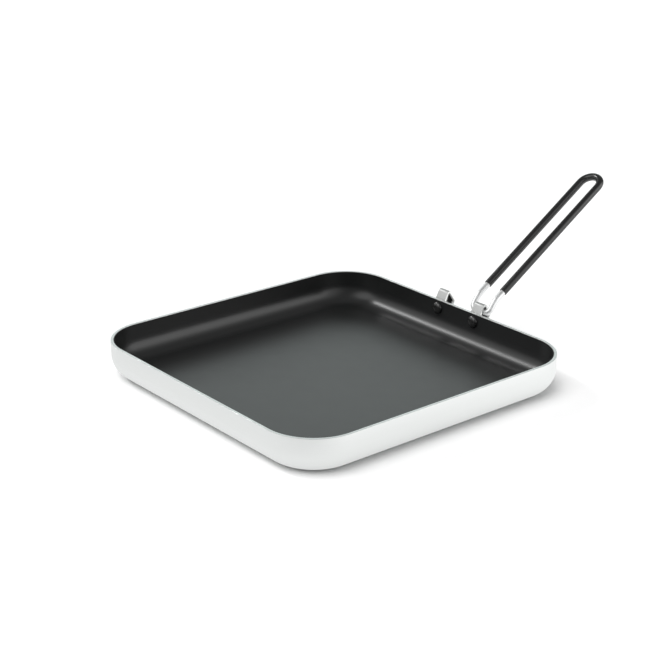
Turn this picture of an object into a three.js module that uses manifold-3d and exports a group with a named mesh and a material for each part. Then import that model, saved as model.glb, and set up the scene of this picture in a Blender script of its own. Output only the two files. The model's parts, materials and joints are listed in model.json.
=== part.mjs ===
// Square frying pan with a folding wire handle.
// Millimetres, +Z up. The origin is the middle of the flat base, and +X points at the wall with the handle.
import * as THREE from 'three';
import { mergeVertices } from 'three/addons/utils/BufferGeometryUtils.js';
import Module from 'manifold-3d';

const wasm = await Module();
wasm.setup();

// Pan: one pressed aluminium sheet
const panSide = 280;
const wallHeight = 12; // upright part of the walls, above the rounded base edge
const rimCornerRadius = 43;
const baseEdgeRadius = 19;
const sheetThickness = 2.4;
const rimRounding = 0.4;

// Non-stick coating, drawn thicker than the real film so that it is a solid
const coatingThickness = 0.3;

// Gap left between pieces that touch
const seatGap = 0.1;

// Handle brackets: two alike strap loops, side by side on one wall
const bracketSpacing = 43.6;
const bracketWidth = 11.2;
const strapThickness = 1.8;
const loopRise = 7.4; // top of the loop above the rim
const loopReach = 13.6; // outermost face of the loop from the wall
const apexReach = 5.7; // centre of the top bend from the wall
const apexInnerRadius = 1;
const elbowDrop = 3; // centre of the outer bend below the rim
const elbowInnerRadius = 2;
const footDrop = 9.2; // lower end of the loop below the rivet's axis
const footInnerRadius = 1;

// Rivets, one in each bracket
const rivetLift = 4.5; // rivet axis above the rounded base edge
const rivetShankRadius = 2.4;
const rivetHoleClearance = 0.15;
const rivetHeadRadius = 5.5;
const rivetHeadHeight = 3;
const rivetTailRadius = 3.8;
const rivetTailHeight = 1.5;

// Handle: one bent wire, whose two ends turn inwards and pivot in the bracket on the -Y side
const wireDiameter = 5.4;
const pivotClearance = 0.25;
const wireEndGap = 1; // between the two ends, inside the bracket
const legBendRadius = 4;
const legBendGap = 0.4; // between the bracket's side and the start of the leg's bend
const handleTilt = THREE.MathUtils.degToRad(32.6); // legs above the horizontal, in use
const crankAngle = THREE.MathUtils.degToRad(22.4); // lower legs stand steeper by this much
const crankOffset = 4.6; // legs lie this far above the pivot, square to themselves
const crankBendRadius = 20;
const handleLength = 165; // pivot to the wire's centreline at the far end

// Grip: one sleeve over the legs and the far end
const gripThickness = 0.6;
const gripGap = 0.1;
const gripStartLeft = 23.9; // along the legs, from the pivot
const gripStartRight = 21.6;

// Fineness of the round stretches
const rimCornerSteps = 8;
const edgeSteps = 7;
const roundingSteps = 2;
const strapBendSteps = 8;
const rivetSides = 24;
const rivetDomeSteps = 5;
const wireSides = 14;
const legBendSteps = 6;
const crankBendSteps = 3;
const farEndSteps = 14;

// Places worked out from the sizes above
const panHeight = baseEdgeRadius + wallHeight;
const wallFace = panSide / 2;
const innerWallFace = wallFace - sheetThickness - seatGap - coatingThickness;
const bracketBack = wallFace + seatGap;
const rivetHeight = baseEdgeRadius + rivetLift;
const rivetHeadSeat = innerWallFace - seatGap;
const rivetTailSeat = bracketBack + strapThickness + seatGap;
const leftBracketY = bracketSpacing / 2;
const rightBracketY = -bracketSpacing / 2;
const wireRadius = wireDiameter / 2;
const legSpacing = bracketWidth + 2 * (legBendGap + legBendRadius); // between the legs' centrelines

// The strap loop in the XZ plane: straight runs between four bends, given by their centres
const apex = new THREE.Vector2(
  wallFace + apexReach,
  panHeight + loopRise - strapThickness - apexInnerRadius,
);
const elbow = new THREE.Vector2(
  wallFace + loopReach - strapThickness - elbowInnerRadius,
  panHeight - elbowDrop,
);
const foot = new THREE.Vector2(
  bracketBack + strapThickness + footInnerRadius,
  rivetHeight - footDrop + strapThickness + footInnerRadius,
);
const knee = new THREE.Vector2(bracketBack, panHeight);

// Lean of the loop's two upper runs from the vertical, the one by the wall and the outer one
const kneeToApex = apex.clone().sub(knee);
const innerLean = Math.atan2(kneeToApex.x, kneeToApex.y)
  - Math.asin((apexInnerRadius + strapThickness) / kneeToApex.length());
const apexToElbow = elbow.clone().sub(apex);
const outerLean = Math.atan2(apexToElbow.x, -apexToElbow.y)
  + Math.asin((elbowInnerRadius - apexInnerRadius) / apexToElbow.length());

// The wire sits where the loop narrows, touching both upper runs but for its clearance
const apexToPivot = (wireRadius + pivotClearance - apexInnerRadius) / Math.sin((innerLean + outerLean) / 2);
const pivotLean = (outerLean - innerLean) / 2;
const pivot = new THREE.Vector3(
  apex.x + apexToPivot * Math.sin(pivotLean),
  rightBracketY,
  apex.y - apexToPivot * Math.cos(pivotLean),
);

// Solids: closed meshes for cutting

function toSolid(geometry) {
  const bare = geometry.clone();
  bare.deleteAttribute('normal');
  bare.deleteAttribute('uv');
  const merged = mergeVertices(bare, 1e-5);
  return new wasm.Manifold(new wasm.Mesh({
    numProp: 3,
    vertProperties: Float32Array.from(merged.attributes.position.array),
    triVerts: Uint32Array.from(merged.index.array),
  }));
}

function toGeometry(solid) {
  const mesh = solid.getMesh();
  const geometry = new THREE.BufferGeometry();
  geometry.setAttribute('position', new THREE.BufferAttribute(mesh.vertProperties, 3));
  geometry.setIndex(new THREE.BufferAttribute(mesh.triVerts, 1));
  geometry.computeVertexNormals();
  return geometry;
}

function cut(geometry, ...tools) {
  const solid = tools.reduce((rest, tool) => rest.subtract(toSolid(tool)), toSolid(geometry));
  return toGeometry(solid);
}

function material(color, roughness, metalness) {
  return new THREE.MeshStandardMaterial({ color, roughness, metalness });
}

function piece(name, geometry, finish) {
  const mesh = new THREE.Mesh(geometry, finish);
  mesh.name = name;
  return mesh;
}

// Points on an arc, with both ends
function arcPoints(centre, radius, from, to, steps) {
  return Array.from({ length: steps + 1 }, (_, i) => {
    const angle = from + (to - from) * (i / steps);
    return new THREE.Vector2(centre.x + radius * Math.cos(angle), centre.y + radius * Math.sin(angle));
  });
}

// Pressed sheet: rounded squares stacked along a profile

// Corners of a rounded square drawn inside the pan's outline by the inset, at height z
function roundedSquare({ inset, z }) {
  const radius = rimCornerRadius - inset;
  const reach = wallFace - rimCornerRadius;
  return [[1, 1], [-1, 1], [-1, -1], [1, -1]].flatMap(([sx, sy], quarter) => {
    const start = quarter * Math.PI / 2;
    const centre = new THREE.Vector2(sx * reach, sy * reach);
    return arcPoints(centre, radius, start, start + Math.PI / 2, rimCornerSteps)
      .map((p) => new THREE.Vector3(p.x, p.y, z));
  });
}

// A closed solid through a list of rings, with the first and the last closed flat
function loft(profile) {
  const rings = profile.map(roundedSquare);
  const count = rings[0].length;
  const index = [];
  for (let r = 0; r + 1 < rings.length; r += 1) {
    for (let i = 0; i < count; i += 1) {
      const next = (i + 1) % count;
      const [a, b, c, d] = [r * count + i, r * count + next, (r + 1) * count + next, (r + 1) * count + i];
      index.push(a, b, c, a, c, d);
    }
  }
  const last = (rings.length - 1) * count;
  for (const [a, b, c] of THREE.ShapeUtils.triangulateShape(rings[0], [])) index.push(c, b, a);
  for (const [a, b, c] of THREE.ShapeUtils.triangulateShape(rings.at(-1), [])) {
    index.push(last + a, last + b, last + c);
  }
  const geometry = new THREE.BufferGeometry().setFromPoints(rings.flat());
  geometry.setIndex(index);
  return geometry;
}

// Profile points on a bend of the sheet, as inset and height. All the bends share the base edge's centre.
function edgeBend(radius, from, to) {
  const centre = new THREE.Vector2(baseEdgeRadius, baseEdgeRadius);
  return arcPoints(centre, radius, from, to, edgeSteps).map((p) => ({ inset: p.x, z: p.y }));
}

function rimBend(inset, from, to) {
  const centre = new THREE.Vector2(inset, panHeight - rimRounding);
  return arcPoints(centre, rimRounding, from, to, roundingSteps).map((p) => ({ inset: p.x, z: p.y }));
}

const underneath = 1.5 * Math.PI;
const outwards = Math.PI;

// Hole for a rivet's shank, through the coating, the wall and the strap on it
function rivetHole(y) {
  const radius = rivetShankRadius + rivetHoleClearance;
  const from = rivetHeadSeat - rivetHeadHeight;
  const to = rivetTailSeat + rivetTailHeight;
  const hole = new THREE.CylinderGeometry(radius, radius, to - from, rivetSides);
  return hole.rotateZ(Math.PI / 2).translate((from + to) / 2, y, rivetHeight);
}

function panBody() {
  const shell = loft([
    ...edgeBend(baseEdgeRadius, underneath, outwards),
    ...rimBend(rimRounding, Math.PI, Math.PI / 2),
    ...rimBend(sheetThickness - rimRounding, Math.PI / 2, 0),
    ...edgeBend(baseEdgeRadius - sheetThickness, outwards, underneath),
  ]);
  const aluminium = material(0xdcdddc, 0.35, 1);
  return piece('pan_body', cut(shell, rivetHole(leftBracketY), rivetHole(rightBracketY)), aluminium);
}

function nonstickCoating() {
  const backRadius = baseEdgeRadius - sheetThickness - seatGap;
  const faceRadius = backRadius - coatingThickness;
  const top = panHeight - rimRounding;
  const film = loft([
    ...edgeBend(backRadius, underneath, outwards),
    { inset: baseEdgeRadius - backRadius, z: top },
    { inset: baseEdgeRadius - faceRadius, z: top },
    ...edgeBend(faceRadius, outwards, underneath),
  ]);
  const black = material(0x222323, 0.4, 0);
  return piece('nonstick_coating', cut(film, rivetHole(leftBracketY), rivetHole(rightBracketY)), black);
}

// Brackets: a strap bent into a closed loop and riveted flat to the wall

// Outline of the loop, at a distance from the bends' inner faces: 0 draws the hole, the thickness the outside
function loopOutline(offset) {
  const wallSide = bracketBack + strapThickness - offset;
  const apexRadius = apexInnerRadius + offset;
  const elbowRadius = elbowInnerRadius + offset;
  const footRadius = footInnerRadius + offset;
  const footToElbow = elbow.clone().sub(foot);
  const lowerLean = Math.atan2(footToElbow.y, footToElbow.x)
    - Math.asin((elbowInnerRadius - footInnerRadius) / footToElbow.length());
  // The run by the wall leans out from the rim: where it crosses the flat run below
  const apexTouch = apex.clone().add(
    new THREE.Vector2(-Math.cos(innerLean), Math.sin(innerLean)).multiplyScalar(apexRadius),
  );
  const bendHeight = apexTouch.y - (apexTouch.x - wallSide) / Math.tan(innerLean);
  return [
    ...arcPoints(foot, footRadius, Math.PI, 1.5 * Math.PI + lowerLean, strapBendSteps),
    ...arcPoints(elbow, elbowRadius, lowerLean - Math.PI / 2, outerLean, strapBendSteps),
    ...arcPoints(apex, apexRadius, outerLean, Math.PI - innerLean, strapBendSteps),
    new THREE.Vector2(wallSide, bendHeight),
  ];
}

function bracket(name, y) {
  const strap = new THREE.Shape(loopOutline(strapThickness));
  strap.holes.push(new THREE.Path(loopOutline(0)));
  const loop = new THREE.ExtrudeGeometry(strap, { depth: bracketWidth, steps: 1, bevelEnabled: false });
  loop.rotateX(Math.PI / 2).translate(0, y + bracketWidth / 2, 0);
  const steel = material(0xc9cac9, 0.3, 1);
  return piece(name, cut(loop, rivetHole(y)), steel);
}

// Rivets: a domed head inside the pan, and a tail set flat on the strap inside the loop

function dome(radius, height, seat, outward) {
  const sphere = (radius * radius + height * height) / (2 * height);
  const spread = Math.asin(Math.min(1, radius / sphere));
  return Array.from({ length: rivetDomeSteps + 1 }, (_, i) => {
    const angle = spread * (i / rivetDomeSteps);
    const rise = height - sphere + sphere * Math.cos(angle);
    return new THREE.Vector2(sphere * Math.sin(angle), seat + outward * rise);
  });
}

function rivet(name, y) {
  const headSeat = rivetHeadSeat - wallFace;
  const tailSeat = rivetTailSeat - wallFace;
  const profile = [
    ...dome(rivetHeadRadius, rivetHeadHeight, headSeat, -1),
    new THREE.Vector2(rivetShankRadius, headSeat),
    new THREE.Vector2(rivetShankRadius, tailSeat),
    ...dome(rivetTailRadius, rivetTailHeight, tailSeat, 1).reverse(),
  ];
  const turned = new THREE.LatheGeometry(profile, rivetSides);
  const mesh = piece(name, toGeometry(toSolid(turned)), material(0x2a2a2a, 0.35, 0.2));
  mesh.rotation.z = -Math.PI / 2;
  mesh.position.set(wallFace, y, rivetHeight);
  return mesh;
}

// Handle, in its own frame: +X along the legs, +Z square to them, origin on the pivot axis

// A path through chosen points, so that a straight run takes one step and a bend as many as it needs
class PointPath extends THREE.Curve {
  constructor(points) {
    super();
    this.points = points;
  }

  getPointAt(share) {
    return this.points[Math.round(share * (this.points.length - 1))].clone();
  }

  getTangentAt(share) {
    const i = Math.round(share * (this.points.length - 1));
    const before = this.points[Math.max(0, i - 1)];
    const after = this.points[Math.min(this.points.length - 1, i + 1)];
    const here = this.points[i];
    const arriving = here.clone().sub(before).normalize();
    const leaving = after.clone().sub(here).normalize();
    return arriving.add(leaving).normalize();
  }
}

// Points that round a path's corner with an arc between two straight runs
function roundCorner(before, corner, after, radius, steps) {
  const arriving = corner.clone().sub(before).normalize();
  const leaving = after.clone().sub(corner).normalize();
  const turn = arriving.angleTo(leaving);
  const start = corner.clone().addScaledVector(arriving, -radius * Math.tan(turn / 2));
  const inward = leaving.clone().addScaledVector(arriving, -leaving.dot(arriving)).normalize();
  return Array.from({ length: steps + 1 }, (_, i) => {
    const angle = turn * (i / steps);
    return start.clone()
      .addScaledVector(arriving, radius * Math.sin(angle))
      .addScaledVector(inward, radius * (1 - Math.cos(angle)));
  });
}

// One leg from its end in the bracket to the start of the far end's bend; side is 1 on the +Y leg
function legPoints(side) {
  const end = new THREE.Vector3(0, side * wireEndGap / 2, 0);
  const turn = new THREE.Vector3(0, side * legSpacing / 2, 0);
  const crank = new THREE.Vector3(crankOffset / Math.tan(crankAngle), turn.y, crankOffset);
  const farEnd = new THREE.Vector3(handleLength - legSpacing / 2, turn.y, crankOffset);
  return {
    lower: [
      end,
      ...roundCorner(end, turn, crank, legBendRadius, legBendSteps),
      ...roundCorner(turn, crank, farEnd, crankBendRadius, crankBendSteps),
    ],
    gripStart: new THREE.Vector3(side > 0 ? gripStartLeft : gripStartRight, turn.y, crankOffset),
  };
}

function farEndPoints() {
  const centre = new THREE.Vector2(handleLength - legSpacing / 2, 0);
  return arcPoints(centre, legSpacing / 2, Math.PI / 2, -Math.PI / 2, farEndSteps)
    .map((p) => new THREE.Vector3(p.x, p.y, crankOffset));
}

function circleShape(radius) {
  const centre = new THREE.Vector2(0, 0);
  return new THREE.Shape(arcPoints(centre, radius, 0, 2 * Math.PI, wireSides).slice(0, -1));
}

function sweep(shape, points) {
  const options = { steps: points.length - 1, bevelEnabled: false, extrudePath: new PointPath(points) };
  return toGeometry(toSolid(new THREE.ExtrudeGeometry(shape, options)));
}

function handleWire() {
  const points = [
    ...legPoints(1).lower,
    legPoints(1).gripStart,
    ...farEndPoints(),
    legPoints(-1).gripStart,
    ...legPoints(-1).lower.reverse(),
  ];
  return piece('handle_wire', sweep(circleShape(wireRadius), points), material(0xd2d3d2, 0.25, 1));
}

function gripSleeve() {
  const tube = circleShape(wireRadius + gripGap + gripThickness);
  tube.holes.push(new THREE.Path(circleShape(wireRadius + gripGap).getPoints()));
  const points = [legPoints(1).gripStart, ...farEndPoints(), legPoints(-1).gripStart];
  return piece('grip_sleeve', sweep(tube, points), material(0x1f1f1f, 0.5, 0));
}

function handle() {
  const group = new THREE.Group();
  group.add(handleWire(), gripSleeve());
  group.position.copy(pivot);
  group.rotation.y = -handleTilt;
  return group;
}

const pan = new THREE.Group();
pan.add(
  panBody(),
  nonstickCoating(),
  bracket('left_bracket', leftBracketY),
  bracket('right_bracket', rightBracketY),
  rivet('left_rivet', leftBracketY),
  rivet('right_rivet', rightBracketY),
  handle(),
);

export default pan;
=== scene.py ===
# Square frying pan with a folding wire handle: the finished look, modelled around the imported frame.
# The frame is in metres with +Z up. Settings are in millimetres and degrees unless a note says otherwise.
import json
import math

import bmesh
import bpy
from mathutils import Matrix, Vector


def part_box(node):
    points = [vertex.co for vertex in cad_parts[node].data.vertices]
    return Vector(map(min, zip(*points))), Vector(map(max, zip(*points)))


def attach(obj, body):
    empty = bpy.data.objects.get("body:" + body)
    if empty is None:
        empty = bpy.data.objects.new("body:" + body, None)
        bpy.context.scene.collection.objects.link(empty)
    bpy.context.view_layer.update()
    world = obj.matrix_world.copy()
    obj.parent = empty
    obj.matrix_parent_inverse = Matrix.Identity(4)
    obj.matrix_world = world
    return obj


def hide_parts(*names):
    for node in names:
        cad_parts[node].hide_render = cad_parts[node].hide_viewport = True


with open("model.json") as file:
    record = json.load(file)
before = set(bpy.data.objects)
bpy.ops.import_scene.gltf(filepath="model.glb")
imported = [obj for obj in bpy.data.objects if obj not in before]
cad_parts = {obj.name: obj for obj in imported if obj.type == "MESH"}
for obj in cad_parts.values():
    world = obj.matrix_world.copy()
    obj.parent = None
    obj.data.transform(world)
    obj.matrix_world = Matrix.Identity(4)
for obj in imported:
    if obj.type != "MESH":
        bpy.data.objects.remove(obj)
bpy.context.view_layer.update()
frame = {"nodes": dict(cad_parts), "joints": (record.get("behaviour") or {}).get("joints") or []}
mm = 0.001
tiny = 0.01 * mm  # closer than this counts as the same place
print("frame loaded with", len(frame["nodes"]), "nodes")


# Camera, at the photograph's viewing angle

shot = {
    "azimuth": -39.67,
    "elevation": 21.437,
    "roll": 0.268,
    "distance": 1293.2,  # from the middle of the base
    "aimRight": 0.54,  # how far the eye stands to the right of that line, and above it
    "aimUp": 38.15,
    "lens": 86.16,
    "sensor": 36,
}


def placeCamera():
    azimuth, elevation, roll = (math.radians(shot[key]) for key in ("azimuth", "elevation", "roll"))
    level = math.cos(elevation)
    back = Vector((math.sin(azimuth) * level, -math.cos(azimuth) * level, math.sin(elevation)))
    right = Vector((math.cos(azimuth), math.sin(azimuth), 0))
    up = back.cross(right)
    eye = (back * shot["distance"] + right * shot["aimRight"] + up * shot["aimUp"]) * mm
    turned = Matrix((right, up, back)).transposed() @ Matrix.Rotation(roll, 3, "Z")
    bpy.ops.object.camera_add()
    camera = bpy.context.object
    camera.matrix_world = Matrix.Translation(eye) @ turned.to_4x4()
    camera.data.lens = shot["lens"]
    camera.data.sensor_width = shot["sensor"]
    bpy.context.scene.camera = camera


placeCamera()
print("camera placed")


# Bench: what every piece is made with

def startFresh():  # nothing selected, so an operator touches only what comes next
    if bpy.context.mode != "OBJECT":
        bpy.ops.object.mode_set(mode="OBJECT")
    bpy.ops.object.select_all(action="DESELECT")


def pick(piece, kind, wanted):  # selects the verts, edges or faces that pass a test
    bpy.ops.mesh.select_mode(type=kind)
    bpy.ops.mesh.select_all(action="DESELECT")
    shape = bmesh.from_edit_mesh(piece.data)
    shape.normal_update()
    for part in {"VERT": shape.verts, "EDGE": shape.edges, "FACE": shape.faces}[kind]:
        part.select_set(bool(wanted(part)))
    bmesh.update_edit_mesh(piece.data)


def applyModifier(piece, kind, **settings):
    startFresh()
    bpy.context.view_layer.objects.active = piece
    piece.select_set(True)
    bpy.ops.object.modifier_add(type=kind)
    modifier = piece.modifiers[-1]
    for name, value in settings.items():
        setattr(modifier, name, value)
    bpy.ops.object.modifier_apply(modifier=modifier.name)


def drillHole(piece, centre, radius, depth, sides=48):  # a round hole along X
    startFresh()
    bpy.ops.mesh.primitive_cylinder_add(
        vertices=sides, radius=radius, depth=depth, location=centre, rotation=(0, math.pi / 2, 0)
    )
    drill = bpy.context.object
    applyModifier(piece, "BOOLEAN", operation="DIFFERENCE", solver="EXACT", object=drill)
    bpy.data.objects.remove(drill)


def roundedPath(corners, arcStep):  # corners are (point, bend radius), a radius of 0 stays sharp
    path = []
    for i, (corner, radius) in enumerate(corners):
        if radius == 0:
            path.append(corner)
            continue
        arriving = (corner - corners[i - 1][0]).normalized()
        leaving = (corners[(i + 1) % len(corners)][0] - corner).normalized()
        turn = arriving.angle(leaving)
        start = corner - arriving * radius * math.tan(turn / 2)
        inward = (leaving - arriving * leaving.dot(arriving)).normalized()
        steps = max(2, round(math.degrees(turn) / arcStep))
        for step in range(steps + 1):
            angle = turn * step / steps
            point = start + arriving * radius * math.sin(angle) + inward * radius * (1 - math.cos(angle))
            if not path or (point - path[-1]).length > tiny:
                path.append(point)
    return path


def penLine(name, points, closed=False):  # one vertex, extruded from point to point
    startFresh()
    bpy.ops.mesh.primitive_plane_add(size=1)
    piece = bpy.context.object
    piece.name = piece.data.name = name
    bpy.ops.object.mode_set(mode="EDIT")
    bpy.ops.mesh.select_mode(type="VERT")
    bpy.ops.mesh.select_all(action="SELECT")
    bpy.ops.mesh.merge(type="CENTER")
    bpy.ops.transform.translate(value=points[0])
    for here, there in zip(points, points[1:]):
        bpy.ops.mesh.extrude_vertices_move(TRANSFORM_OT_translate={"value": there - here})
    if closed:
        ends = (points[0], points[-1])
        pick(piece, "VERT", lambda v: min((v.co - end).length for end in ends) < tiny)
        bpy.ops.mesh.edge_face_add()
    return piece


def roundWire(piece, radius, resolution, capped):  # gives a line of edges a round section
    startFresh()
    bpy.context.view_layer.objects.active = piece
    piece.select_set(True)
    bpy.ops.object.convert(target="CURVE")
    curve = bpy.context.object
    curve.data.dimensions = "3D"
    curve.data.fill_mode = "FULL"
    curve.data.bevel_depth = radius
    curve.data.bevel_resolution = resolution
    curve.data.use_fill_caps = capped
    bpy.ops.object.convert(target="MESH")
    solid = bpy.context.object
    bpy.ops.object.mode_set(mode="EDIT")
    bpy.ops.mesh.select_all(action="SELECT")
    bpy.ops.mesh.remove_doubles(threshold=tiny)
    bpy.ops.mesh.normals_make_consistent(inside=False)
    startFresh()
    return solid


def isSharp(edge, degrees=50):
    return len(edge.link_faces) == 2 and edge.calc_face_angle() > math.radians(degrees)


def finishPiece(piece, node, body, material, smoothAngle=35):
    startFresh()
    bpy.context.view_layer.objects.active = piece
    piece.select_set(True)
    bpy.ops.object.shade_smooth_by_angle(angle=math.radians(smoothAngle))
    piece.data.materials.clear()
    piece.data.materials.append(material)
    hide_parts(node)
    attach(piece, body)
    triangles = sum(len(face.vertices) - 2 for face in piece.data.polygons)
    print("made", piece.name, "with", triangles, "triangles")


# Finishes

noiseLow, noiseHigh = 0.3, 0.7  # between these lies most of what a noise texture gives


def srgb(hexCode):  # "d8dad9" to linear red, green, blue and alpha
    levels = [int(hexCode[i:i + 2], 16) / 255 for i in (0, 2, 4)]
    return [((c + 0.055) / 1.055) ** 2.4 if c > 0.04045 else c / 12.92 for c in levels] + [1]


def newMaterial(name):
    material = bpy.data.materials.new(name)
    material.use_nodes = True
    material.node_tree.nodes.clear()
    return material


def addNode(material, kind, inputs=None, **settings):  # inputs are values or other nodes' outputs
    node = material.node_tree.nodes.new("ShaderNode" + kind)
    for name, value in settings.items():
        setattr(node, name, value)
    for socket, value in (inputs or {}).items():
        if isinstance(value, bpy.types.NodeSocket):
            material.node_tree.links.new(value, node.inputs[socket])
        else:
            node.inputs[socket].default_value = value
    return node


def satinAluminium():
    # Pressed aluminium sheet with a fine satin grain: pale, soft reflections, faint lines around the walls
    look = {
        "tint": "e6e8e7", "roughness": (0.37, 0.45), "grainLength": 45, "grainWidth": 0.7,
        "bump": 0.04, "bumpHeight": 0.1,
    }
    material = newMaterial("satinAluminium")
    place = addNode(material, "TexCoord")
    stretch = [1 / (look[key] * mm) for key in ("grainLength", "grainLength", "grainWidth")]
    grainPlace = addNode(material, "Mapping", {"Vector": place.outputs["Object"], "Scale": stretch})
    grain = addNode(material, "TexNoise", {"Vector": grainPlace.outputs[0], "Scale": 1.0, "Detail": 4.0})
    rough = addNode(material, "MapRange", {
        "Value": grain.outputs["Fac"], "From Min": noiseLow, "From Max": noiseHigh,
        "To Min": look["roughness"][0], "To Max": look["roughness"][1],
    })
    bump = addNode(material, "Bump", {
        "Height": grain.outputs["Fac"], "Strength": look["bump"], "Distance": look["bumpHeight"] * mm,
    })
    metal = addNode(material, "BsdfPrincipled", {
        "Base Color": srgb(look["tint"]), "Metallic": 1.0,
        "Roughness": rough.outputs[0], "Normal": bump.outputs[0],
    })
    addNode(material, "OutputMaterial", {"Surface": metal.outputs[0]})
    return material


def bakedNonstick():
    # Fluoropolymer film, sprayed and baked: near black, smooth, with a soft sheen at low angles
    look = {
        "colour": "1f2020", "ior": 1.52, "roughness": (0.31, 0.33), "peel": 3, "mottle": 14,
        "bump": 0.008, "bumpHeight": 0.1,
    }
    material = newMaterial("bakedNonstick")
    place = addNode(material, "TexCoord")
    peel = addNode(material, "TexNoise", {
        "Vector": place.outputs["Object"], "Scale": 1 / (look["peel"] * mm), "Detail": 2.0,
    })
    mottle = addNode(material, "TexNoise", {
        "Vector": place.outputs["Object"], "Scale": 1 / (look["mottle"] * mm), "Detail": 3.0,
    })
    rough = addNode(material, "MapRange", {
        "Value": mottle.outputs["Fac"], "From Min": noiseLow, "From Max": noiseHigh,
        "To Min": look["roughness"][0], "To Max": look["roughness"][1],
    })
    bump = addNode(material, "Bump", {
        "Height": peel.outputs["Fac"], "Strength": look["bump"], "Distance": look["bumpHeight"] * mm,
    })
    film = addNode(material, "BsdfPrincipled", {
        "Base Color": srgb(look["colour"]), "IOR": look["ior"],
        "Roughness": rough.outputs[0], "Normal": bump.outputs[0],
    })
    addNode(material, "OutputMaterial", {"Surface": film.outputs[0]})
    return material


def strapSteel(name, tint, paintedShadeTint, roughness):
    # Rolled steel strip with a fine grain along it: satin grey on its face, bright where it was cut,
    # rough inside the loop, with a painted bright tint near its two mouths and painted shade deep inside
    # away from them
    look = {
        "grainLength": 12, "grainWidth": 0.35, "bump": 0.08, "bumpHeight": 0.1,
        "mouth": (2.2, 4.2),  # the painted shade fades out between these distances from the bracket's middle, towards the mouths
    }
    material = newMaterial(name)
    place = addNode(material, "TexCoord")
    stretch = [1 / (look[key] * mm) for key in ("grainLength", "grainWidth", "grainLength")]
    grainPlace = addNode(material, "Mapping", {"Vector": place.outputs["Object"], "Scale": stretch})
    grain = addNode(material, "TexNoise", {"Vector": grainPlace.outputs[0], "Scale": 1.0, "Detail": 3.0})
    rough = addNode(material, "MapRange", {
        "Value": grain.outputs["Fac"], "From Min": noiseLow, "From Max": noiseHigh,
        "To Min": roughness[0], "To Max": roughness[1],
    })
    bump = addNode(material, "Bump", {
        "Height": grain.outputs["Fac"], "Strength": look["bump"], "Distance": look["bumpHeight"] * mm,
    })
    colour = srgb(tint)
    # painted shade: the colour is darkened deep inside the loop and left at its bright tint near the mouths
    if paintedShadeTint != tint:  # the two brackets stand equally far to either side, so one distance serves both
        across = addNode(material, "SeparateXYZ", {0: place.outputs["Object"]})
        eitherSide = addNode(material, "Math", {0: across.outputs["Y"]}, operation="ABSOLUTE")
        off = addNode(material, "Math", {
            0: eitherSide.outputs[0], 1: bracketMiddle("left_bracket"),
        }, operation="SUBTRACT")
        offMiddle = addNode(material, "Math", {0: off.outputs[0]}, operation="ABSOLUTE")
        begins, full = (reach * mm for reach in look["mouth"])
        mouth = addNode(material, "MapRange", {
            "Value": offMiddle.outputs[0], "From Min": begins, "From Max": full,
        })
        shaded = addNode(material, "Mix", {
            "Factor": mouth.outputs[0], "A": srgb(paintedShadeTint), "B": srgb(tint),
        }, data_type="RGBA")
        colour = shaded.outputs["Result"]
    metal = addNode(material, "BsdfPrincipled", {
        "Base Color": colour, "Metallic": 1.0,
        "Roughness": rough.outputs[0], "Normal": bump.outputs[0],
    })
    addNode(material, "OutputMaterial", {"Surface": metal.outputs[0]})
    return material


def blackRivet():
    # Aluminium rivet under black enamel: glossy dome, dulled a little by scrubbing
    look = {"colour": "161616", "ior": 1.8, "roughness": (0.22, 0.30), "scuff": 1.5}
    material = newMaterial("blackRivet")
    place = addNode(material, "TexCoord")
    scuff = addNode(material, "TexNoise", {
        "Vector": place.outputs["Object"], "Scale": 1 / (look["scuff"] * mm), "Detail": 3.0,
    })
    rough = addNode(material, "MapRange", {
        "Value": scuff.outputs["Fac"], "From Min": noiseLow, "From Max": noiseHigh,
        "To Min": look["roughness"][0], "To Max": look["roughness"][1],
    })
    enamel = addNode(material, "BsdfPrincipled", {
        "Base Color": srgb(look["colour"]), "IOR": look["ior"], "Roughness": rough.outputs[0],
    })
    addNode(material, "OutputMaterial", {"Surface": enamel.outputs[0]})
    return material


def drawnWire():
    # Bright drawn steel wire: light, with faint die lines along its length
    look = {"tint": "e6e7e7", "roughness": (0.40, 0.50), "lineLength": 40, "lineWidth": 0.4}
    material = newMaterial("drawnWire")
    place = addNode(material, "TexCoord")
    stretch = [1 / (look[key] * mm) for key in ("lineLength", "lineWidth", "lineWidth")]
    linePlace = addNode(material, "Mapping", {
        "Vector": place.outputs["Object"], "Scale": stretch,
        "Rotation": (0, math.radians(handle["tilt"]), 0),
    })
    lines = addNode(material, "TexNoise", {"Vector": linePlace.outputs[0], "Scale": 1.0, "Detail": 2.0})
    rough = addNode(material, "MapRange", {
        "Value": lines.outputs["Fac"], "From Min": noiseLow, "From Max": noiseHigh,
        "To Min": look["roughness"][0], "To Max": look["roughness"][1],
    })
    metal = addNode(material, "BsdfPrincipled", {
        "Base Color": srgb(look["tint"]), "Metallic": 1.0, "Roughness": rough.outputs[0],
    })
    addNode(material, "OutputMaterial", {"Surface": metal.outputs[0]})
    return material


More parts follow.
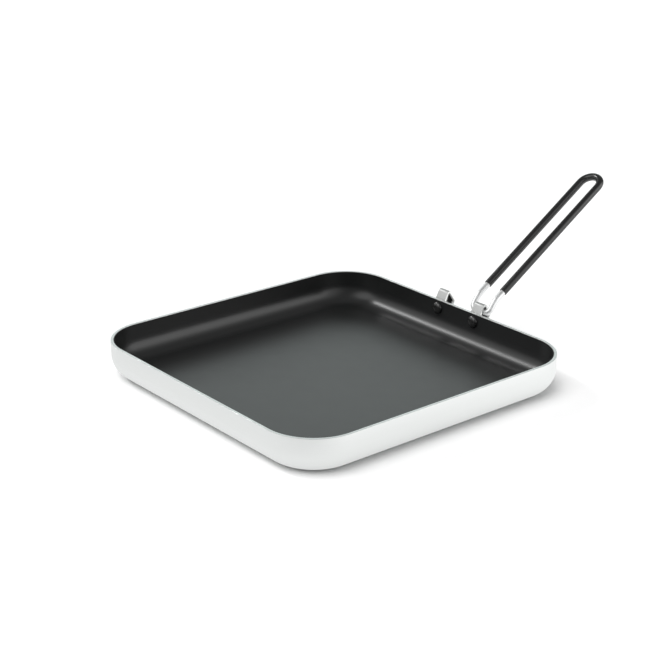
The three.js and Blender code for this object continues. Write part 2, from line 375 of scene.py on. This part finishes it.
def gripVinyl():
    # Extruded black vinyl sleeve: semi-gloss, slightly uneven, with a thin line of light along each leg
    look = {
        "colour": "0c0c0c", "ior": 1.65, "roughness": (0.20, 0.28), "unevenness": 4,
        "bump": 0.05, "bumpHeight": 0.2,
    }
    material = newMaterial("gripVinyl")
    place = addNode(material, "TexCoord")
    skin = addNode(material, "TexNoise", {
        "Vector": place.outputs["Object"], "Scale": 1 / (look["unevenness"] * mm), "Detail": 3.0,
    })
    rough = addNode(material, "MapRange", {
        "Value": skin.outputs["Fac"], "From Min": noiseLow, "From Max": noiseHigh,
        "To Min": look["roughness"][0], "To Max": look["roughness"][1],
    })
    bump = addNode(material, "Bump", {
        "Height": skin.outputs["Fac"], "Strength": look["bump"], "Distance": look["bumpHeight"] * mm,
    })
    vinyl = addNode(material, "BsdfPrincipled", {
        "Base Color": srgb(look["colour"]), "IOR": look["ior"],
        "Roughness": rough.outputs[0], "Normal": bump.outputs[0],
    })
    addNode(material, "OutputMaterial", {"Surface": vinyl.outputs[0]})
    return material


# Pan and its coating: a block with rounded corners and base edge, hollowed to a sheet

panSheet = {
    "thickness": 2.4,
    "rimCornerRadius": 43,
    "baseEdgeRadius": 19,
    "rimRounding": 0.2,
    "rimSteps": 4,
    "cornerSteps": 24,
    "edgeSteps": 16,
    "flatRing": 3,  # ring of flat faces that keeps the floor's shading flat
    "coatingThickness": 0.3,
}
rivet = {
    "lift": 4.5,  # axis above the rounded base edge
    "shankRadius": 2.4,
    "holeClearance": 0.15,
    "drillDepth": 10,
    "headRadius": 5.5,
    "headHeight": 3,
    "headEdge": 0.15,  # upright edge of the head under its dome
    "tailRadius": 3.8,
    "tailHeight": 1.5,
    "steps": 48,
}
rivetZ = (panSheet["baseEdgeRadius"] + rivet["lift"]) * mm
holeRadius = (rivet["shankRadius"] + rivet["holeClearance"]) * mm


def bracketMiddle(node):  # Y of the middle of a bracket
    low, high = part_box(node)
    return (low.y + high.y) / 2


def rivetHoles(piece, wall):
    for node in ("left_bracket", "right_bracket"):
        centre = (wall, bracketMiddle(node), rivetZ)
        drillHole(piece, centre, holeRadius, rivet["drillDepth"] * mm)


def pressSheet(name, node, thickness):
    low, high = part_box(node)
    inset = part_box("pan_body")[1].x - high.x
    startFresh()
    bpy.ops.mesh.primitive_cube_add(size=1, location=(low + high) / 2, scale=high - low)
    piece = bpy.context.object
    piece.name = piece.data.name = name
    bpy.ops.object.transform_apply(location=True, rotation=True, scale=True)
    bpy.ops.object.mode_set(mode="EDIT")
    pick(piece, "EDGE", lambda e: abs(e.verts[0].co.z - e.verts[1].co.z) > tiny)
    bpy.ops.mesh.bevel(offset=panSheet["rimCornerRadius"] * mm - inset, segments=panSheet["cornerSteps"])
    pick(piece, "EDGE", lambda e: all(v.co.z < low.z + tiny for v in e.verts))
    bpy.ops.mesh.bevel(offset=panSheet["baseEdgeRadius"] * mm - inset, segments=panSheet["edgeSteps"])
    pick(piece, "FACE", lambda f: f.normal.z > 0.99)
    bpy.ops.mesh.delete(type="ONLY_FACE")
    pick(piece, "FACE", lambda f: f.normal.z < -0.999 and len(f.verts) > 4)
    bpy.ops.mesh.inset(thickness=panSheet["flatRing"] * mm)
    applyModifier(piece, "SOLIDIFY", thickness=thickness, offset=-1, use_even_offset=True)
    return piece, high


def roundRim(piece, top):
    def onRim(edge):
        level = all(v.co.z > top - tiny for v in edge.verts)
        return level and isSharp(edge)
    bpy.ops.object.mode_set(mode="EDIT")
    pick(piece, "EDGE", onRim)
    bpy.ops.mesh.bevel(offset=panSheet["rimRounding"] * mm, segments=panSheet["rimSteps"])
    startFresh()


def makePan():
    piece, high = pressSheet("pan", "pan_body", panSheet["thickness"] * mm)
    roundRim(piece, high.z)
    rivetHoles(piece, high.x)
    finishPiece(piece, "pan_body", "pan", satinAluminium())


def makeCoating():
    piece, high = pressSheet("coating", "nonstick_coating", panSheet["coatingThickness"] * mm)
    rivetHoles(piece, high.x)
    finishPiece(piece, "nonstick_coating", "pan", bakedNonstick())


# Brackets: a strap folded into a loop, with its cut edges broken

strap = {
    "thickness": 1.8,
    "rise": 7.4,  # top above the rim
    "reach": 13.6,  # outer face from the wall
    "apexReach": 5.7,
    "apexRadius": 1,  # inside bend radii
    "elbowDrop": 3,
    "elbowRadius": 2,
    "footDrop": 9.2,
    "footRadius": 1,
    "kneeRadius": 2.5,  # outside bend radius, where the strap leaves the wall
    "brokenEdge": 0.3,
    "brokenEdgeSteps": 3,
    "drillDepth": 7.2,
    "arcStep": 6,
}
strapFinishes = {  # tint, painted shade tint deep inside the loop, and roughness
    "strapSteel": ("c6c7c6", "c6c7c6", (0.46, 0.60)),
    # painted light and shade inside the loop: a bright tint at the mouths, near black deep inside
    "strapSteelRoughPaintedShade": ("f0f0ef", "2a2a2a", (0.75, 0.90)),
    "strapSteelCutEdge": ("f0f1f0", "f0f1f0", (0.35, 0.45)),
}


def runLine(angle, centre, radius):  # a straight run, as its outward normal and its distance from the origin
    normal = Vector((math.cos(angle), math.sin(angle)))
    return normal, normal.dot(centre) + radius


def meet(first, second):  # where two runs would cross
    (a, p), (b, q) = first, second
    spread = a.x * b.y - a.y * b.x
    return Vector(((p * b.y - q * a.y) / spread, (a.x * q - b.x * p) / spread))


def strapCorners(wall, rim, back):  # outside corners of the loop in X and Z, with their outside bend radii
    size = {key: value * mm for key, value in strap.items()}
    apex = Vector((wall + size["apexReach"], rim + size["rise"] - size["thickness"] - size["apexRadius"]))
    elbow = Vector((wall + size["reach"] - size["thickness"] - size["elbowRadius"], rim - size["elbowDrop"]))
    foot = Vector((back + size["thickness"] + size["footRadius"],
                   rivetZ - size["footDrop"] + size["thickness"] + size["footRadius"]))
    knee = Vector((back, rim))
    bends = [size[key] + size["thickness"] for key in ("apexRadius", "elbowRadius", "footRadius")]
    apexBend, elbowBend, footBend = bends
    rise = apex - knee
    innerLean = math.atan2(rise.x, rise.y) - math.asin(apexBend / rise.length)
    fall = elbow - apex
    outerLean = math.atan2(fall.x, -fall.y) + math.asin((elbowBend - apexBend) / fall.length)
    under = elbow - foot
    lowerLean = math.atan2(under.y, under.x) - math.asin((elbowBend - footBend) / under.length)
    wallRun = runLine(math.pi, foot, footBend)
    innerRun = runLine(math.pi - innerLean, apex, apexBend)
    outerRun = runLine(outerLean, apex, apexBend)
    lowerRun = runLine(lowerLean - math.pi / 2, foot, footBend)
    return [
        (meet(wallRun, innerRun), size["kneeRadius"]),
        (meet(innerRun, outerRun), apexBend),
        (meet(outerRun, lowerRun), elbowBend),
        (meet(lowerRun, wallRun), footBend),
    ]


def makeBracket(name, node, plate, inside, cutEdge):
    low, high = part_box(node)
    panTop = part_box("pan_body")[1]
    corners = [
        (Vector((point.x, low.y, point.y)), radius)
        for point, radius in strapCorners(panTop.x, panTop.z, low.x)
    ]
    piece = penLine(name, roundedPath(corners, strap["arcStep"]), closed=True)
    bpy.ops.mesh.select_all(action="SELECT")
    bpy.ops.mesh.extrude_edges_move(TRANSFORM_OT_translate={"value": (0, high.y - low.y, 0)})
    bpy.ops.mesh.select_all(action="SELECT")
    bpy.ops.mesh.normals_make_consistent(inside=False)
    applyModifier(piece, "SOLIDIFY", thickness=strap["thickness"] * mm, offset=-1, use_even_offset=True)
    bpy.ops.object.mode_set(mode="EDIT")
    pick(piece, "EDGE", isSharp)
    bpy.ops.mesh.bevel(offset=strap["brokenEdge"] * mm, segments=strap["brokenEdgeSteps"])
    startFresh()
    drillHole(piece, (low.x, bracketMiddle(node), rivetZ), holeRadius, strap["drillDepth"] * mm)
    finishPiece(piece, node, "pan", plate)

    loopMiddle = (low + high) / 2

    def facesLoop(face):
        inwards = face.normal.dot(loopMiddle - face.calc_center_median()) > 0
        return abs(face.normal.y) < 0.5 and inwards

    def facesSide(face):
        return abs(face.normal.y) > 0.5

    bpy.ops.object.mode_set(mode="EDIT")
    for material, wanted in ((inside, facesLoop), (cutEdge, facesSide)):
        piece.data.materials.append(material)
        pick(piece, "FACE", wanted)
        piece.active_material_index = len(piece.data.materials) - 1
        bpy.ops.object.material_slot_assign()
    startFresh()


# Rivets: a turned profile spun about the rivet's axis

def domeArc(radius, height, steps=12):  # elliptical profile from its top to its edge, as (along, out)
    angles = [math.pi / 2 * i / steps for i in range(steps + 1)]
    return [(height * math.cos(a), radius * math.sin(a)) for a in angles]


def makeRivet(name, node, material):
    low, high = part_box(node)
    middle = (low.y + high.y) / 2
    size = {key: value * mm for key, value in rivet.items()}
    headSeat = low.x + size["headHeight"]
    tailSeat = high.x - size["tailHeight"]
    dome = domeArc(size["headRadius"], size["headHeight"] - size["headEdge"])
    tail = domeArc(size["tailRadius"], size["tailHeight"])
    profile = [(headSeat - size["headEdge"] - along, out) for along, out in dome]
    profile += [(headSeat, size["headRadius"]), (headSeat, size["shankRadius"])]
    profile += [(tailSeat, size["shankRadius"])]
    profile += [(tailSeat + along, out) for along, out in reversed(tail)]
    points = [Vector((x, middle, rivetZ + out)) for x, out in profile]
    piece = penLine(name, points)
    bpy.ops.mesh.select_all(action="SELECT")
    bpy.ops.mesh.spin(
        steps=rivet["steps"], angle=2 * math.pi, center=(0, middle, rivetZ), axis=(1, 0, 0)
    )
    bpy.ops.mesh.select_all(action="SELECT")
    bpy.ops.mesh.remove_doubles(threshold=tiny)
    bpy.ops.mesh.normals_make_consistent(inside=False)
    finishPiece(piece, node, "pan", material)


# Handle: one bent wire on the bracket's pivot, with a sleeve over its legs and far end

handle = {
    "tilt": 32.6,  # of the legs above the horizontal
    "crankAngle": 22.4,  # the legs leave the pivot this much steeper
    "crankOffset": 4.6,  # and then run this far above a line through it
    "crankRadius": 20,
    "legSpacing": 20,
    "legBendRadius": 4,
    "length": 165,  # from the pivot to the middle of the far end's wire
    "wireRadius": 2.7,
    "endGap": 1,  # between the two inward ends
    "gripThickness": 0.55,
    "gripGap": 0.1,
    "gripStartLeft": 23.9,
    "gripStartRight": 21.6,
    "gripEdge": 0.2,
    "gripEdgeSteps": 3,
    "arcStep": 6,
    "sectionResolution": 10,
}


def handlePoint(along, side, above):  # along the legs, to the left of their middle and above the pivot
    pivot = Vector(frame["joints"][0]["pos_m"])
    tilted = Matrix.Rotation(-math.radians(handle["tilt"]), 3, "Y")
    return pivot + tilted @ (Vector((along, side, above)) * mm)


def makeHandle():
    size = handle
    half = size["legSpacing"] / 2
    above = size["crankOffset"]
    crank = above / math.tan(math.radians(size["crankAngle"]))

    def leg(side):
        return [
            (handlePoint(0, side * size["endGap"] / 2, 0), 0),
            (handlePoint(0, side * half, 0), size["legBendRadius"] * mm),
            (handlePoint(crank, side * half, above), size["crankRadius"] * mm),
        ]

    farEnd = [(handlePoint(size["length"], side * half, above), half * mm) for side in (1, -1)]
    wirePath = roundedPath(leg(1) + farEnd + leg(-1)[::-1], size["arcStep"])
    wire = roundWire(penLine("wire", wirePath), size["wireRadius"] * mm, size["sectionResolution"], True)
    finishPiece(wire, "handle_wire", "handle", drawnWire())

    gripPath = roundedPath(
        [(handlePoint(size["gripStartLeft"], half, above), 0)]
        + farEnd
        + [(handlePoint(size["gripStartRight"], -half, above), 0)],
        size["arcStep"],
    )
    gripRadius = size["wireRadius"] + size["gripGap"] + size["gripThickness"]
    grip = roundWire(penLine("grip", gripPath), gripRadius * mm, size["sectionResolution"], False)
    applyModifier(grip, "SOLIDIFY", thickness=size["gripThickness"] * mm, offset=-1, use_even_offset=True)
    bpy.ops.object.mode_set(mode="EDIT")
    pick(grip, "EDGE", isSharp)
    bpy.ops.mesh.bevel(offset=size["gripEdge"] * mm, segments=size["gripEdgeSteps"])
    finishPiece(grip, "grip_sleeve", "handle", gripVinyl())


makePan()
makeCoating()
strapMaterials = [strapSteel(name, *finish) for name, finish in strapFinishes.items()]
rivetFinish = blackRivet()
for side in ("left", "right"):
    makeBracket(side + "Bracket", side + "_bracket", *strapMaterials)
    makeRivet(side + "Rivet", side + "_rivet", rivetFinish)
makeHandle()


# Studio: a pale floor under a soft overhead light, with a white backdrop behind the handle

studio = {
    "floorSide": 24,  # metres
    "floorTone": "f6f6f6",
    "floorLift": 0.27,  # light that the floor gives to the camera alone, so that it reads as white
    "liftRange": (5, 28),  # it sets in over this distance from where the pan stands, leaving a painted shadow around the pan
    "liftShift": 5,  # and a little later on the handle's side
    "mirroredLow": 0.80,  # painted shadow in reflections: what metal sees of the floor beside the pan, where the open floor is 1
    "litSide": 1.14,  # and a painted brighter reflection: what it sees on the handle's side, this far from the middle
    "litReach": 190,
    "roomTone": "8e8e8e",
}
cards = {  # pale cards that shiny surfaces see: where, tone, level, and the angles of their soft edge
    "backdrop": ((0.64, 0.77, 0.06), "eefbf9", 0.87, (40, 24)),
    "frontCard": ((0.36, -0.92, 0.15), "ffffff", 0.90, (58, 20)),
    "leftCard": ((-0.76, 0.09, 0.64), "ffffff", 1.50, (28, 14)),
}
lamps = {  # where each lamp stands, its strength, and how wide it looks in degrees
    "overheadLight": ((-0.42, -0.05, 0.90), 1.50, 50),
    "keyLight": ((-0.32, 0.717, 0.615), 0.62, 8),
    "keyReflector": ((-0.50, 0.71, 0.49), 0.30, 44),
    "fillLight": ((0.60, -0.77, 0.21), 0.62, 52),
}


def makeFloor():
    startFresh()
    bpy.ops.mesh.primitive_plane_add(size=studio["floorSide"])
    floor = bpy.context.object
    floor.name = "floor"
    material = newMaterial("paleFloor")
    material.cycles.emission_sampling = "NONE"  # its glow is for the eye and for mirrors, not for lighting
    path = addNode(material, "LightPath")
    shiny = addNode(material, "Math", {
        0: path.outputs["Is Glossy Ray"], 1: path.outputs["Is Transmission Ray"],
    }, operation="MAXIMUM")
    mirrored = addNode(material, "Math", {  # only in rays that have met no matt surface before
        0: shiny.outputs[0], 1: path.outputs["Diffuse Depth"],
    }, operation="SUBTRACT", use_clamp=True)
    # Distance from the rounded square that the pan stands on, measured from the middles of its corner arcs
    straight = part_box("pan_body")[1].x - panSheet["rimCornerRadius"] * mm
    place = addNode(material, "TexCoord")
    shifted = addNode(material, "VectorMath", {
        0: place.outputs["Object"], 1: (-studio["liftShift"] * mm, 0, 0),
    }, operation="ADD")
    below = addNode(material, "VectorMath", {
        0: shifted.outputs[0], 1: (straight, straight, 0),
    }, operation="MINIMUM")
    inside = addNode(material, "VectorMath", {
        0: below.outputs[0], 1: (-straight, -straight, 0),
    }, operation="MAXIMUM")
    away = addNode(material, "VectorMath", {
        0: shifted.outputs[0], 1: inside.outputs[0],
    }, operation="DISTANCE")
    standing = panSheet["rimCornerRadius"] - panSheet["baseEdgeRadius"]
    near, far = ((standing + reach) * mm for reach in studio["liftRange"])
    # painted shadow: the floor's glow for the camera sets in only away from the pan, so the floor stays
    # darker around it
    openFloor = addNode(material, "MapRange", {
        "Value": away.outputs["Value"], "From Min": near, "From Max": far,
    }, interpolation_type="SMOOTHSTEP")

    paint = addNode(material, "BsdfDiffuse", {"Color": srgb(studio["floorTone"])})
    lifted = addNode(material, "Math", {
        0: openFloor.outputs[0], 1: studio["floorLift"],
    }, operation="MULTIPLY")
    lift = addNode(material, "Math", {
        0: path.outputs["Is Camera Ray"], 1: lifted.outputs[0],
    }, operation="MULTIPLY")
    glow = addNode(material, "Emission", {"Strength": lift.outputs[0]})
    seen = addNode(material, "AddShader", {0: paint.outputs[0], 1: glow.outputs[0]})
    # painted shadow and painted reflection: mirrors see the floor dimmer beside the pan and brighter on the
    # handle's side
    beside = addNode(material, "MapRange", {
        "Value": openFloor.outputs[0], "To Min": studio["mirroredLow"], "To Max": 1.0,
    })
    sides = addNode(material, "SeparateXYZ", {0: place.outputs["Object"]})
    litSide = addNode(material, "MapRange", {
        "Value": sides.outputs["X"], "From Max": studio["litReach"] * mm,
        "To Min": 1.0, "To Max": studio["litSide"],
    })
    shine = addNode(material, "Math", {0: beside.outputs[0], 1: litSide.outputs[0]}, operation="MULTIPLY")
    white = addNode(material, "Emission", {"Strength": shine.outputs[0]})
    both = addNode(material, "MixShader", {0: mirrored.outputs[0], 1: seen.outputs[0], 2: white.outputs[0]})
    addNode(material, "OutputMaterial", {"Surface": both.outputs[0]})
    floor.data.materials.append(material)


def makeSky():
    world = bpy.data.worlds.new("studioSky")
    bpy.context.scene.world = world
    world.use_nodes = True
    world.node_tree.nodes.clear()
    world.cycles.sampling_method = "NONE"  # mirrors then see the backdrop as it is
    path = addNode(world, "LightPath")
    outward = addNode(world, "TexCoord")
    room = srgb(studio["roomTone"])
    for source, tone, level, edges in cards.values():
        facing = addNode(world, "VectorMath", {
            0: outward.outputs["Generated"], 1: Vector(source).normalized(),
        }, operation="DOT_PRODUCT")
        begins, full = (math.cos(math.radians(angle)) for angle in edges)
        card = addNode(world, "MapRange", {
            "Value": facing.outputs["Value"], "From Min": begins, "From Max": full,
        }, interpolation_type="SMOOTHSTEP")
        mirrored = addNode(world, "Math", {
            0: path.outputs["Is Glossy Ray"], 1: card.outputs[0],
        }, operation="MULTIPLY")
        bright = [level * channel for channel in srgb(tone)]
        added = addNode(world, "Mix", {
            "Factor": mirrored.outputs[0], "A": room, "B": bright,
        }, data_type="RGBA", blend_type="ADD")
        room = added.outputs["Result"]
    direct = addNode(world, "Math", {
        0: path.outputs["Is Camera Ray"], 1: path.outputs["Is Transmission Ray"],
    }, operation="MAXIMUM")
    inRoom = addNode(world, "Background", {"Color": room})
    white = addNode(world, "Background", {"Color": srgb("ffffff")})
    sky = addNode(world, "MixShader", {0: direct.outputs[0], 1: inRoom.outputs[0], 2: white.outputs[0]})
    addNode(world, "OutputWorld", {"Surface": sky.outputs[0]})


def hangLamp(name, source, strength, width):
    startFresh()
    bpy.ops.object.light_add(type="SUN")
    lamp = bpy.context.object
    lamp.name = name
    lamp.rotation_euler = Vector(source).to_track_quat("Z", "Y").to_euler()
    lamp.data.energy = strength
    lamp.data.angle = math.radians(width)
    lamp.visible_glossy = name != "overheadLight"  # this one is for the floor and its shadow


makeFloor()
makeSky()
for name, (source, strength, width) in lamps.items():
    hangLamp(name, source, strength, width)
bpy.context.scene.view_settings.view_transform = "Standard"
print("studio ready")
